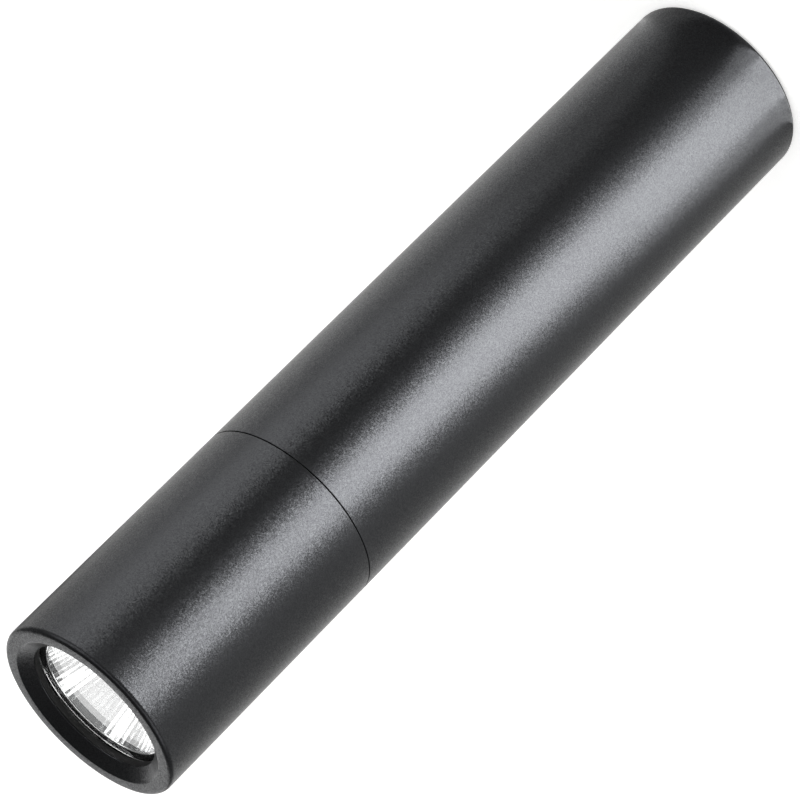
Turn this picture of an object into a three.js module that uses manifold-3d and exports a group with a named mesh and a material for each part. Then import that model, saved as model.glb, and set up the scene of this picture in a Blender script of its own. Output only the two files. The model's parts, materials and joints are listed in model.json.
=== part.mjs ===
// A slim LED torch for one protected 18650 cell: a straight tube closed at the tail by a push switch,
// and a screw-on head that holds the light engine. Millimetres, +Z along the axis, standing on its tail.

import * as THREE from 'three';
import { mergeVertices } from 'three/addons/utils/BufferGeometryUtils.js';
import Module from 'manifold-3d';

const wasm = await Module();
wasm.setup();

// Driving dimensions

// Fits: air between stacked faces, round a seated piece, along the screw neck and round the cell
const stackGap = 0.05;
const seatClearance = 0.15;
const threadClearance = 0.2;
const cellClearance = 0.2;

// Broken edge of small turned pieces
const smallEdge = 0.4;

// Cell
const cellRadius = 9.25;
const canLength = 65.5;
const canEdge = 0.5;
const sleeveThickness = 0.15;
const sleeveLip = 1.6;
const protectionThickness = 1;
const insulatorThickness = 0.3;
const capRadius = 3.9;
const capHeight = 2.2;

// Shells
const neckWall = 1.5;
const headWall = 1.35;
const headLength = 35.2;
const seamGap = 0.12;
const seamChamfer = 0.12;
const leadChamfer = 0.5;
const neckEndGap = 0.25;
const neckRoom = 0.6;

// Seal on the neck
const neckSealCord = 0.85;
const neckSealSqueeze = 0.1;
const neckSealPlay = 0.3;
const neckSealOffset = 0.9;

// Bezel, lens and its seal
const bezelEdge = 0.5;
const flareWidth = 1.6;
const flareDepth = 1.2;
const lipLand = 0.1;
const lipOverlap = 1;
const lensSealCord = 0.9;
const lensThickness = 1.2;
const lensChamfer = 0.15;

// Reflector
const reflectorDepth = 9.6;
const reflectorFacets = 36;
const reflectorRows = 6;
const reflectorRim = 1.6;
const reflectorFlange = 1.4;
const reflectorFlangeStep = 0.8;
const reflectorLand = 0.6;
const reflectorFoot = 2;
const reflectorFootHeight = 1.2;

// Light emitter
const ledSide = 3.45;
const ledHeight = 0.7;
const ledDomeRadius = 1.45;
const ledCornerGap = 0.12;
const gasketWall = 0.3;
const gasketFlange = 0.8;
const gasketBoss = 0.5;
const gasketInset = 0.4;
const ledBoardThickness = 1.6;
const ledBoardInset = 0.5;
const ledNotchRadius = 1.9;
const ledNotches = 6;

// Pill and driver
const pillStep = 0.4;
const lensStep = 0.6;
const pillBossHeight = 2.4;
const pillBossInset = 0.3;
const pillSkirtWall = 1.95;
const pillPlatform = 3;
const driverRoom = 2.2;
const driverLedge = 0.6;
const driverThickness = 1.2;
const driverRingHeight = 1.6;
const driverRingWidth = 1.5;
const driverContactHeight = 1.6;
const driverContactRadius = 2.4;
const driverContactFoot = 0.5;
const chipLength = 5;
const chipWidth = 3.9;
const chipHeight = 1.5;
const inductorRadius = 2.3;
const inductorHeight = 1.8;
const inductorWaist = 0.5;
const inductorDisc = 0.4;
const capacitorSide = 2.5;
const capacitorWidth = 1.25;
const capacitorHeight = 1.1;
const componentOffset = 4.2;
const wireRadius = 0.45;
const wireClearance = 0.35;
const wireRise = 0.5;

// Tail end, boot and button
const tailWall = 3;
const tailEdge = 0.7;
const tailFlareWidth = 1.4;
const tailFlareDepth = 1;
const tailStep = 0.25;
const tailRunout = 0.8;
const bootRadius = 6.1;
const bootClearance = 0.2;
const bootRecess = 0.5;
const bootWall = 1.1;
const bootFloor = 1.2;
const bootFlange = 1;
const bootEdge = 0.9;
const bootCrown = 0.3;
const washerThickness = 0.8;
const switchPlay = 0.3;
const actuatorCap = 1.2;
const actuatorStem = 1.45;
const actuatorStemRadius = 2.4;
const buttonTravel = 1.6;
const buttonStopGap = 0.1;

// Push switch
const switchSide = 8.4;
const switchCorner = 0.8;
const switchHousingHeight = 8.2;
const switchFloor = 0.9;
const switchBaseThickness = 1.2;
const switchCavityRadius = 2.7;
const plungerRadius = 1.6;
const plungerFlange = 0.9;
const plungerPinRadius = 1.2;
const plungerPin = 1.8;
const switchSpringWire = 0.4;
const switchSpringTurns = 5;
const spacerWall = 1.4;
const switchBoardThickness = 1.2;
const switchRingHeight = 2;
const switchRingWidth = 2.4;
const terminalThickness = 0.5;
const terminalWidth = 2;
const terminalPitch = 5.2;
const terminalReach = 0.5;
const terminalPlay = 0.15;

// Spring under the cell
const tailSpringLength = 9.85;
const tailSpringWire = 1;
const tailSpringBase = 5.6;
const tailSpringTop = 3.2;
const tailSpringTurns = 5;

// Spanner slots in the screwed rings
const slotWidth = 2;
const slotDepth = 0.8;

// How far a cutting tool runs past what it cuts
const overrun = 1;

// Smoothness of round forms
const shellSegments = 40;
const partSegments = 24;
const smallSegments = 18;
const arcSteps = 2;
const plateArcSteps = 4;
const cordSides = 8;
const springStepsPerTurn = 8;
const springSides = 5;
const wireSteps = 12;
const gapSamplesPerTurn = 32;
const pointMerge = 0.005;

// Radii, from the cell outwards and from the head's bore inwards
const boreRadius = cellRadius + cellClearance;
const neckRadius = boreRadius + neckWall;
const headBore = neckRadius + threadClearance;
const barrelRadius = headBore + headWall;
const neckSealOuter = headBore - neckSealSqueeze;
const neckSealRadius = neckSealOuter - neckSealCord / 2;
const grooveRadius = neckSealOuter - neckSealCord - stackGap;
const pillBore = headBore - pillStep;
const pillRadius = pillBore - seatClearance;
const lensBore = pillBore - lensStep;
const lensRadius = lensBore - seatClearance;
const apertureRadius = lensRadius - lipOverlap;
const flareRadius = apertureRadius + flareWidth;
const lensSealRadius = lensRadius - lensSealCord / 2;
const reflectorRadius = lensRadius;
const reflectorMouth = reflectorRadius - reflectorRim;
const gasketHole = ledSide * Math.SQRT1_2 + ledCornerGap;
const gasketBossRadius = gasketHole + gasketWall;
const reflectorHole = gasketBossRadius + seatClearance;
const reflectorFootRadius = reflectorHole + reflectorFoot;
const gasketRadius = reflectorFootRadius - gasketInset;
const pillBossRadius = lensBore - pillBossInset;
const skirtBore = pillRadius - pillSkirtWall;
const driverRadius = skirtBore - seatClearance;
const roomRadius = driverRadius - driverLedge;
const ledBoardRadius = driverRadius - ledBoardInset;
const wireOffset = ledBoardRadius - ledNotchRadius + wireClearance + wireRadius;
const wireHole = wireRadius + wireClearance;
const switchBore = boreRadius - tailStep;
const switchRadius = switchBore - seatClearance;
const bootHole = bootRadius + bootClearance;
const bootHollow = bootRadius - bootWall;
const washerHole = bootHollow + bootClearance;
const actuatorRadius = bootHollow - switchPlay;
const plungerHole = plungerRadius + seatClearance;
const plungerFlangeRadius = switchCavityRadius - switchPlay;
const switchSpringRadius = plungerFlangeRadius - switchSpringWire;
const canRadius = cellRadius - sleeveThickness - stackGap;
const sleeveHole = cellRadius - sleeveLip;

// Heights of the tail stack, from the boot inwards
const actuatorZ = bootRecess + bootFloor + stackGap;
const plungerZ = actuatorZ + actuatorCap + actuatorStem + stackGap;
const housingZ = actuatorZ + actuatorCap + actuatorStem + buttonTravel + buttonStopGap;
const switchBaseZ = housingZ + switchHousingHeight + stackGap;
const switchBoardZ = switchBaseZ + switchBaseThickness + stackGap;
const switchRingZ = switchBoardZ + switchBoardThickness + stackGap;
const bootFlangeZ = tailWall + stackGap;
const washerZ = bootFlangeZ + bootFlange + stackGap;
const spacerZ = washerZ + washerThickness + stackGap;
const spacerLength = switchBoardZ - stackGap - spacerZ;
const plungerFlangeZ = housingZ + switchFloor + stackGap;
const switchSpringZ = plungerFlangeZ + plungerFlange + stackGap;
const switchSpringLength = switchBaseZ - stackGap - switchSpringZ;
const switchBoreTop = switchRingZ + switchRingHeight + tailRunout;
const tailSpringZ = switchRingZ;

// Heights of the cell, each above its own negative end
const protectionZ = sleeveThickness + stackGap;
const canZ = protectionZ + protectionThickness + stackGap;
const canTop = canZ + canLength + stackGap;
const sleeveHeight = canTop + insulatorThickness + stackGap + sleeveThickness;
const cellLength = canTop + capHeight;
const cellZ = tailSpringZ + tailSpringLength + stackGap - protectionZ;

// Heights of the head stack, from the cell forwards
const driverContactZ = cellZ + cellLength + stackGap;
const driverBoardZ = driverContactZ + driverContactHeight + stackGap;
const driverRingZ = driverBoardZ - stackGap - driverRingHeight;
const driverTop = driverBoardZ + driverThickness + stackGap;
const pillZ = driverRingZ;
const pillTop = driverTop + driverRoom + pillPlatform;
const pillHeight = pillTop - pillZ;
const ledBoardZ = pillTop + stackGap;
const ledZ = ledBoardZ + ledBoardThickness + stackGap;
const gasketZ = ledZ;
const reflectorZ = gasketZ + gasketFlange + stackGap;
const reflectorHeight = reflectorLand + reflectorDepth;
const lensZ = reflectorZ + reflectorHeight + stackGap;
const lensSealZ = lensZ + lensThickness + stackGap;
const lipZ = lensSealZ + lensSealCord + stackGap;
const frontZ = lipZ + lipLand + flareDepth;
const headZ = frontZ - headLength;
const shoulderZ = headZ - seamGap;
const neckEndZ = pillZ - neckEndGap;
const pillStopZ = pillTop - pillBossHeight + stackGap;
const neckSealZ = shoulderZ + neckSealOffset;
const grooveTop = neckSealZ + neckSealCord + neckSealPlay;

// Finishes
const anodised = { color: 0x1d1d1f, roughness: 0.42, metalness: 0.7 };
const bareAluminium = { color: 0xb9bcc0, roughness: 0.35, metalness: 1 };
const mirror = { color: 0xe9eaec, roughness: 0.05, metalness: 1 };
const brass = { color: 0xc8a451, roughness: 0.3, metalness: 1 };
const springSteel = { color: 0xc9c6bf, roughness: 0.3, metalness: 1 };
const rubber = { color: 0x141414, roughness: 0.8, metalness: 0 };
const glass = { color: 0xf3f6f6, roughness: 0.03, metalness: 0, transparent: true, opacity: 0.3 };
const whitePlastic = { color: 0xeeeeea, roughness: 0.5, metalness: 0 };
const blackPlastic = { color: 0x1b1b1b, roughness: 0.5, metalness: 0 };
const boardGreen = { color: 0x1f5a35, roughness: 0.45, metalness: 0 };
const boardWhite = { color: 0xe6e7e4, roughness: 0.4, metalness: 0 };
const phosphor = { color: 0xe9c437, roughness: 0.4, metalness: 0 };
const sleeveBlue = { color: 0x2b5f9e, roughness: 0.35, metalness: 0 };
const wireRed = { color: 0xb32020, roughness: 0.5, metalness: 0 };
const ferrite = { color: 0x3b3b3d, roughness: 0.7, metalness: 0 };
const ceramicTan = { color: 0xb08d62, roughness: 0.5, metalness: 0 };

// Points of an outline without the doubles that arcs leave where they start
function outlinePoints(outline) {
  const points = [];
  for (const point of outline.getPoints(arcSteps)) {
    const last = points.at(-1);
    if (!last || last.distanceTo(point) > pointMerge) {
      points.push(point);
    }
  }
  return points;
}

// Solid of revolution about +Z. The outline runs with the material on its left, in radius and height.
function revolve(outline, segments) {
  const points = outlinePoints(outline);
  if (points[0].x > 0) {
    points.push(points[0].clone());
  }
  const geometry = new THREE.LatheGeometry(points, segments);
  return geometry.rotateX(Math.PI / 2);
}

function outlineFrom(radius, height) {
  return new THREE.Path().moveTo(radius, height);
}

// Flat ring or sleeve with square corners
function ring(inner, outer, height, segments) {
  const outline = outlineFrom(inner, 0).lineTo(outer, 0).lineTo(outer, height).lineTo(inner, height);
  return revolve(outline, segments);
}

// Flat disc with square corners
function disc(radius, height, segments) {
  const outline = outlineFrom(0, 0).lineTo(radius, 0).lineTo(radius, height).lineTo(0, height);
  return revolve(outline, segments);
}

// Ring of round cord that stands on z = 0
function cordRing(radius, cord, segments) {
  const points = [];
  for (let side = 0; side <= cordSides; side += 1) {
    const angle = (2 * Math.PI * side) / cordSides - Math.PI / 2;
    points.push(new THREE.Vector2(
      radius + (cord / 2) * Math.cos(angle),
      cord / 2 + (cord / 2) * Math.sin(angle),
    ));
  }
  return new THREE.LatheGeometry(points, segments).rotateX(Math.PI / 2);
}

// Block that stands on z = 0, centred on the axis
function block(width, depth, height) {
  return new THREE.BoxGeometry(width, depth, height).translate(0, 0, height / 2);
}

// Flat plate of a shape that stands on z = 0
function plateOf(shape, height) {
  const settings = { depth: height, bevelEnabled: false, curveSegments: plateArcSteps };
  return new THREE.ExtrudeGeometry(shape, settings);
}

// Square plate with round corners that stands on z = 0
function squarePlate(side, corner, height) {
  const half = side / 2;
  const inner = half - corner;
  const shape = new THREE.Shape();
  shape.absarc(inner, inner, corner, 0, Math.PI / 2);
  shape.absarc(-inner, inner, corner, Math.PI / 2, Math.PI);
  shape.absarc(-inner, -inner, corner, Math.PI, 1.5 * Math.PI);
  shape.absarc(inner, -inner, corner, 1.5 * Math.PI, 2 * Math.PI);
  return plateOf(shape, height);
}

// Closed solid of a geometry, with its shared corners merged and its collapsed triangles left out
function solidOf(geometry) {
  const bare = geometry.clone();
  bare.deleteAttribute('normal');
  bare.deleteAttribute('uv');
  const merged = mergeVertices(bare);
  const corners = merged.index.array;
  const kept = [];
  for (let i = 0; i < corners.length; i += 3) {
    const [a, b, c] = [corners[i], corners[i + 1], corners[i + 2]];
    if (a !== b && b !== c && c !== a) {
      kept.push(a, b, c);
    }
  }
  const vertProperties = merged.attributes.position.array;
  return new wasm.Manifold(new wasm.Mesh({ numProp: 3, vertProperties, triVerts: Uint32Array.from(kept) }));
}

// What is left of a body once each tool has been cut out of it
function cutAway(body, tools) {
  let solid = solidOf(body);
  for (const tool of tools) {
    solid = solid.subtract(solidOf(tool));
  }
  const mesh = solid.getMesh();
  const geometry = new THREE.BufferGeometry();
  geometry.setAttribute('position', new THREE.BufferAttribute(mesh.vertProperties, 3));
  geometry.setIndex(new THREE.BufferAttribute(mesh.triVerts, 1));
  geometry.computeVertexNormals();
  return geometry;
}

// Helix about +Z whose radius runs evenly from its first turn to its last
class Helix extends THREE.Curve {
  constructor(firstRadius, lastRadius, rise, turns) {
    super();
    Object.assign(this, { firstRadius, lastRadius, rise, turns });
  }

  getPoint(t, target = new THREE.Vector3()) {
    const radius = THREE.MathUtils.lerp(this.firstRadius, this.lastRadius, t);
    const angle = 2 * Math.PI * this.turns * t;
    return target.set(radius * Math.cos(angle), radius * Math.sin(angle), this.rise * t);
  }
}

// Least air between the turns of a wound wire, measured between points at least half a turn apart
function leastGap(curve, turns, wire) {
  const points = curve.getPoints(turns * gapSamplesPerTurn);
  let least = Infinity;
  for (let i = 0; i < points.length; i += 1) {
    for (let j = i + gapSamplesPerTurn / 2; j < points.length; j += 1) {
      least = Math.min(least, points[i].distanceTo(points[j]));
    }
  }
  return least - wire;
}

// Round wire along a curve
function wireAlong(curve, radius, sides, steps) {
  const corners = [];
  for (let side = 0; side < sides; side += 1) {
    const angle = (2 * Math.PI * side) / sides;
    corners.push(new THREE.Vector2(radius * Math.cos(angle), radius * Math.sin(angle)));
  }
  const section = new THREE.Shape(corners);
  return new THREE.ExtrudeGeometry(section, { steps, extrudePath: curve, bevelEnabled: false });
}

// Compression spring that stands on z = 0 and is as tall as its length
function spring(name, firstRadius, lastRadius, length, wire, turns) {
  const helix = new Helix(firstRadius, lastRadius, length - wire, turns);
  console.log(`${name}: least gap between turns ${leastGap(helix, turns, wire).toFixed(2)} mm`);
  const coil = wireAlong(helix, wire / 2, springSides, springStepsPerTurn * turns);
  return coil.translate(0, 0, wire / 2);
}

// Cutting bar for a pair of spanner slots across a round face
function spannerSlot(radius) {
  return block(2 * (radius + overrun), slotWidth, slotDepth + overrun);
}

// Screwed ring with two spanner slots across its upper face
function slottedRing(inner, outer, height) {
  const slot = spannerSlot(outer).translate(0, 0, height - slotDepth);
  return cutAway(ring(inner, outer, height, shellSegments), [slot]);
}

// Barrel

function bodyTube() {
  const outline = outlineFrom(bootHole, tailWall)
    .lineTo(bootHole, tailFlareDepth)
    .lineTo(bootHole + tailFlareWidth, 0)
    .lineTo(barrelRadius - tailEdge, 0)
    .absarc(barrelRadius - tailEdge, tailEdge, tailEdge, -Math.PI / 2, 0)
    .lineTo(barrelRadius, shoulderZ - seamChamfer)
    .lineTo(barrelRadius - seamChamfer, shoulderZ)
    .lineTo(neckRadius, shoulderZ)
    .lineTo(neckRadius, neckSealZ)
    .lineTo(grooveRadius, neckSealZ)
    .lineTo(grooveRadius, grooveTop)
    .lineTo(neckRadius, grooveTop)
    .lineTo(neckRadius, neckEndZ - leadChamfer)
    .lineTo(neckRadius - leadChamfer, neckEndZ)
    .lineTo(boreRadius, neckEndZ)
    .lineTo(boreRadius, switchBoreTop + tailStep)
    .lineTo(switchBore, switchBoreTop)
    .lineTo(switchBore, tailWall);
  return revolve(outline, shellSegments);
}

// Rubber cap with a crowned face, its flange clamped on the inside of the tail wall
function switchBoot() {
  const faceRadius = bootRadius - bootEdge;
  const rim = bootRecess + bootCrown;
  const outline = outlineFrom(0, bootRecess)
    .quadraticCurveTo(faceRadius / 2, bootRecess, faceRadius, rim)
    .absarc(faceRadius, rim + bootEdge, bootEdge, -Math.PI / 2, 0)
    .lineTo(bootRadius, bootFlangeZ)
    .lineTo(switchRadius, bootFlangeZ)
    .lineTo(switchRadius, bootFlangeZ + bootFlange)
    .lineTo(bootHollow, bootFlangeZ + bootFlange)
    .lineTo(bootHollow, bootRecess + bootFloor)
    .lineTo(0, bootRecess + bootFloor);
  return revolve(outline, partSegments);
}

// Switch box, open towards its base, with the plunger's guide through its floor
function switchHousing() {
  const box = squarePlate(switchSide, switchCorner, switchHousingHeight);
  const guide = disc(plungerHole, switchFloor + 2 * overrun, smallSegments).translate(0, 0, -overrun);
  const cavity = disc(switchCavityRadius, switchHousingHeight, smallSegments).translate(0, 0, switchFloor);
  return cutAway(box, [guide, cavity]);
}

function switchBoard() {
  const board = disc(switchRadius, switchBoardThickness, shellSegments);
  const slotLength = terminalWidth + 2 * terminalPlay;
  const slotAcross = terminalThickness + 2 * terminalPlay;
  const slot = block(slotAcross, slotLength, switchBoardThickness + 2 * overrun).translate(0, 0, -overrun);
  const slots = [-1, 1].map((side) => slot.clone().translate((side * terminalPitch) / 2, 0, 0));
  return cutAway(board, slots);
}

function terminal() {
  return block(terminalThickness, terminalWidth, switchBoardThickness + terminalReach);
}

function switchActuator() {
  const outline = outlineFrom(0, 0)
    .lineTo(actuatorRadius - smallEdge, 0)
    .lineTo(actuatorRadius, smallEdge)
    .lineTo(actuatorRadius, actuatorCap)
    .lineTo(actuatorStemRadius, actuatorCap)
    .lineTo(actuatorStemRadius, actuatorCap + actuatorStem)
    .lineTo(0, actuatorCap + actuatorStem);
  return revolve(outline, partSegments);
}

// Plunger with the flange that stops it on the switch floor and the pin that guides its spring
function switchPlunger() {
  const flangeBase = plungerFlangeZ - plungerZ;
  const flangeTop = flangeBase + plungerFlange;
  const outline = outlineFrom(0, 0)
    .lineTo(plungerRadius, 0)
    .lineTo(plungerRadius, flangeBase)
    .lineTo(plungerFlangeRadius, flangeBase)
    .lineTo(plungerFlangeRadius, flangeTop)
    .lineTo(plungerPinRadius, flangeTop)
    .lineTo(plungerPinRadius, flangeTop + plungerPin)
    .lineTo(0, flangeTop + plungerPin);
  return revolve(outline, smallSegments);
}

// Battery

function cellCan() {
  const outline = outlineFrom(0, 0)
    .lineTo(canRadius - canEdge, 0)
    .lineTo(canRadius, canEdge)
    .lineTo(canRadius, canLength - canEdge)
    .lineTo(canRadius - canEdge, canLength)
    .lineTo(0, canLength);
  return revolve(outline, partSegments);
}

// Shrunk sleeve that folds over both ends of the can
function cellSleeve() {
  const inner = cellRadius - sleeveThickness;
  const outline = outlineFrom(sleeveHole, 0)
    .lineTo(cellRadius, 0)
    .lineTo(cellRadius, sleeveHeight)
    .lineTo(sleeveHole, sleeveHeight)
    .lineTo(sleeveHole, sleeveHeight - sleeveThickness)
    .lineTo(inner, sleeveHeight - sleeveThickness)
    .lineTo(inner, sleeveThickness)
    .lineTo(sleeveHole, sleeveThickness);
  return revolve(outline, partSegments);
}

function cellCap() {
  const outline = outlineFrom(0, 0)
    .lineTo(capRadius, 0)
    .lineTo(capRadius, capHeight - smallEdge)
    .lineTo(capRadius - smallEdge, capHeight)
    .lineTo(0, capHeight);
  return revolve(outline, smallSegments);
}

// Head

function headShell() {
  const pillStop = pillStopZ - headZ;
  const front = frontZ - headZ;
  const lip = lipZ - headZ;
  const neckTop = neckEndZ + neckRoom - headZ;
  const outline = outlineFrom(headBore + leadChamfer, 0)
    .lineTo(barrelRadius - seamChamfer, 0)
    .lineTo(barrelRadius, seamChamfer)
    .lineTo(barrelRadius, front - bezelEdge)
    .absarc(barrelRadius - bezelEdge, front - bezelEdge, bezelEdge, 0, Math.PI / 2)
    .lineTo(flareRadius, front)
    .lineTo(apertureRadius, lip + lipLand)
    .lineTo(apertureRadius, lip)
    .lineTo(lensBore, lip)
    .lineTo(lensBore, pillStop)
    .lineTo(pillBore, pillStop)
    .lineTo(pillBore, neckTop)
    .lineTo(headBore, neckTop)
    .lineTo(headBore, leadChamfer);
  return revolve(outline, shellSegments);
}

function lens() {
  const outline = outlineFrom(0, 0)
    .lineTo(lensRadius - lensChamfer, 0)
    .lineTo(lensRadius, lensChamfer)
    .lineTo(lensRadius, lensThickness - lensChamfer)
    .lineTo(lensRadius - lensChamfer, lensThickness)
    .lineTo(0, lensThickness);
  return revolve(outline, shellSegments);
}

// Mirror cup: inside, a paraboloid broken into flat facets, in rows of equal height and columns round the
// axis; outside, a foot on the gasket, a cone and the flange that bears on the lens
function reflector() {
  const fourFocal = (reflectorMouth ** 2 - reflectorHole ** 2) / reflectorDepth;
  const rowPoints = [];
  for (let row = 0; row <= reflectorRows; row += 1) {
    const rise = (reflectorDepth * row) / reflectorRows;
    const radius = Math.sqrt(reflectorHole ** 2 + fourFocal * rise);
    rowPoints.push({ radius, height: reflectorLand + rise });
  }
  const flangeBase = reflectorHeight - reflectorFlange;
  const outline = outlineFrom(reflectorHole, 0)
    .lineTo(reflectorFootRadius, 0)
    .lineTo(reflectorFootRadius, reflectorFootHeight)
    .lineTo(reflectorMouth + reflectorFlangeStep, flangeBase)
    .lineTo(reflectorRadius, flangeBase)
    .lineTo(reflectorRadius, reflectorHeight);
  for (const { radius, height } of rowPoints.reverse()) {
    outline.lineTo(radius, height);
  }
  return revolve(outline, reflectorFacets);
}

// Centring ring: a flange under the reflector and a boss in its hole
function ledGasket() {
  const outline = outlineFrom(gasketHole, 0)
    .lineTo(gasketRadius, 0)
    .lineTo(gasketRadius, gasketFlange)
    .lineTo(gasketBossRadius, gasketFlange)
    .lineTo(gasketBossRadius, gasketFlange + gasketBoss)
    .lineTo(gasketHole, gasketFlange + gasketBoss);
  return revolve(outline, partSegments);
}

// Star board: a disc with round notches in its rim, two of them for the wires
function ledBoard() {
  const shape = new THREE.Shape();
  const halfNotch = 2 * Math.asin(ledNotchRadius / (2 * ledBoardRadius));
  for (let notch = 0; notch < ledNotches; notch += 1) {
    const angle = (2 * Math.PI * notch) / ledNotches;
    const next = angle + (2 * Math.PI) / ledNotches;
    const centreX = ledBoardRadius * Math.cos(angle);
    const centreY = ledBoardRadius * Math.sin(angle);
    const sweep = Math.PI / 2 + halfNotch / 2;
    shape.absarc(centreX, centreY, ledNotchRadius, angle - sweep, angle + sweep, true);
    shape.absarc(0, 0, ledBoardRadius, angle + halfNotch, next - halfNotch, false);
  }
  return plateOf(shape, ledBoardThickness);
}

function ledDome() {
  const outline = outlineFrom(0, 0)
    .lineTo(ledDomeRadius, 0)
    .absarc(0, 0, ledDomeRadius, 0, Math.PI / 2);
  return revolve(outline, smallSegments);
}

// Screwed module: a platform for the LED board over a room for the driver, with two wire holes
function pill() {
  const platform = pillHeight - pillPlatform;
  const ledge = platform - driverRoom;
  const flangeTop = pillHeight - pillBossHeight;
  const outline = outlineFrom(0, platform)
    .lineTo(roomRadius, platform)
    .lineTo(roomRadius, ledge)
    .lineTo(skirtBore, ledge)
    .lineTo(skirtBore, 0)
    .lineTo(pillRadius, 0)
    .lineTo(pillRadius, flangeTop)
    .lineTo(pillBossRadius, flangeTop)
    .lineTo(pillBossRadius, pillHeight)
    .lineTo(0, pillHeight);
  const hole = disc(wireHole, pillPlatform + 2 * overrun, smallSegments);
  hole.translate(0, 0, platform - overrun);
  const holes = [-1, 1].map((side) => hole.clone().translate(side * wireOffset, 0, 0));
  const slot = spannerSlot(pillRadius).translate(0, 0, -overrun);
  return cutAway(revolve(outline, shellSegments), [...holes, slot]);
}

function driverContact() {
  const outline = outlineFrom(0, 0)
    .lineTo(driverContactRadius - smallEdge, 0)
    .lineTo(driverContactRadius, smallEdge)
    .lineTo(driverContactRadius, driverContactHeight - driverContactFoot)
    .lineTo(driverContactRadius + driverContactFoot, driverContactHeight - driverContactFoot)
    .lineTo(driverContactRadius + driverContactFoot, driverContactHeight)
    .lineTo(0, driverContactHeight);
  return revolve(outline, smallSegments);
}

// Wound inductor: two discs on a waisted core
function inductor() {
  const waist = inductorRadius - inductorWaist;
  const outline = outlineFrom(0, 0)
    .lineTo(inductorRadius, 0)
    .lineTo(inductorRadius, inductorDisc)
    .lineTo(waist, inductorDisc)
    .lineTo(waist, inductorHeight - inductorDisc)
    .lineTo(inductorRadius, inductorHeight - inductorDisc)
    .lineTo(inductorRadius, inductorHeight)
    .lineTo(0, inductorHeight);
  return revolve(outline, smallSegments);
}

// Lead from the driver through the pill and a notch of the star board to its pad
function ledWire(side) {
  const padTop = ledZ + wireRadius;
  const crest = padTop + wireRise;
  const padOffset = reflectorFootRadius + wireClearance;
  const bend = (wireOffset + padOffset) / 2;
  const route = new THREE.CatmullRomCurve3([
    new THREE.Vector3(side * wireOffset, 0, driverTop + stackGap),
    new THREE.Vector3(side * wireOffset, 0, pillTop - pillPlatform),
    new THREE.Vector3(side * wireOffset, 0, pillTop),
    new THREE.Vector3(side * wireOffset, 0, padTop),
    new THREE.Vector3(side * bend, 0, crest),
    new THREE.Vector3(side * padOffset, 0, padTop + stackGap),
  ]);
  return wireAlong(route, wireRadius, cordSides, wireSteps);
}

// Assembly

function place(group, name, geometry, finish, z = 0, x = 0, y = 0) {
  const mesh = new THREE.Mesh(geometry, new THREE.MeshStandardMaterial(finish));
  mesh.name = name;
  mesh.position.set(x, y, z);
  group.add(mesh);
}

const barrel = new THREE.Group();
place(barrel, 'body_tube', bodyTube(), anodised);
place(barrel, 'neck_seal', cordRing(neckSealRadius, neckSealCord, shellSegments), rubber,
  neckSealZ + neckSealPlay / 2);
place(barrel, 'switch_boot', switchBoot(), rubber);
place(barrel, 'boot_washer', ring(washerHole, switchRadius, washerThickness, partSegments),
  bareAluminium, washerZ);
place(barrel, 'switch_spacer', ring(switchRadius - spacerWall, switchRadius, spacerLength, partSegments),
  whitePlastic, spacerZ);
place(barrel, 'switch_housing', switchHousing(), blackPlastic, housingZ);
place(barrel, 'switch_base', squarePlate(switchSide, switchCorner, switchBaseThickness),
  whitePlastic, switchBaseZ);
place(barrel, 'switch_terminal_left', terminal(), brass, switchBoardZ, -terminalPitch / 2);
place(barrel, 'switch_terminal_right', terminal(), brass, switchBoardZ, terminalPitch / 2);
place(barrel, 'switch_board', switchBoard(), boardGreen, switchBoardZ);
place(barrel, 'switch_ring', slottedRing(switchRadius - switchRingWidth, switchRadius, switchRingHeight),
  bareAluminium, switchRingZ);
place(barrel, 'tail_spring',
  spring('tail_spring', tailSpringBase, tailSpringTop, tailSpringLength, tailSpringWire, tailSpringTurns),
  springSteel, tailSpringZ);
place(barrel, 'switch_spring',
  spring('switch_spring', switchSpringRadius, switchSpringRadius, switchSpringLength, switchSpringWire,
    switchSpringTurns),
  springSteel, switchSpringZ);

const button = new THREE.Group();
place(button, 'switch_actuator', switchActuator(), whitePlastic, actuatorZ);
place(button, 'switch_plunger', switchPlunger(), whitePlastic, plungerZ);

const battery = new THREE.Group();
battery.position.z = cellZ;
place(battery, 'cell_can', cellCan(), bareAluminium, canZ);
place(battery, 'cell_sleeve', cellSleeve(), sleeveBlue);
place(battery, 'cell_cap', cellCap(), springSteel, canTop);
place(battery, 'cell_insulator',
  ring(capRadius + seatClearance, canRadius - canEdge, insulatorThickness, partSegments),
  whitePlastic, canTop);
place(battery, 'cell_protection_board', disc(canRadius, protectionThickness, partSegments),
  boardGreen, protectionZ);

const head = new THREE.Group();
place(head, 'head_shell', headShell(), anodised, headZ);
place(head, 'lens_seal', cordRing(lensSealRadius, lensSealCord, shellSegments), rubber, lensSealZ);
place(head, 'lens', lens(), glass, lensZ);
place(head, 'reflector', reflector(), mirror, reflectorZ);
place(head, 'led_gasket', ledGasket(), whitePlastic, gasketZ);
place(head, 'led_board', ledBoard(), boardWhite, ledBoardZ);
place(head, 'led_package', block(ledSide, ledSide, ledHeight), phosphor, ledZ);
place(head, 'led_dome', ledDome(), glass, ledZ + ledHeight + stackGap);
place(head, 'pill', pill(), brass, pillZ);
place(head, 'led_wire_positive', ledWire(1), wireRed);
place(head, 'led_wire_negative', ledWire(-1), blackPlastic);
place(head, 'driver_board', disc(driverRadius, driverThickness, partSegments), boardGreen, driverBoardZ);
place(head, 'driver_chip', block(chipLength, chipWidth, chipHeight), blackPlastic,
  driverTop, 0, -componentOffset);
place(head, 'driver_inductor', inductor(), ferrite, driverTop, 0, componentOffset);
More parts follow.
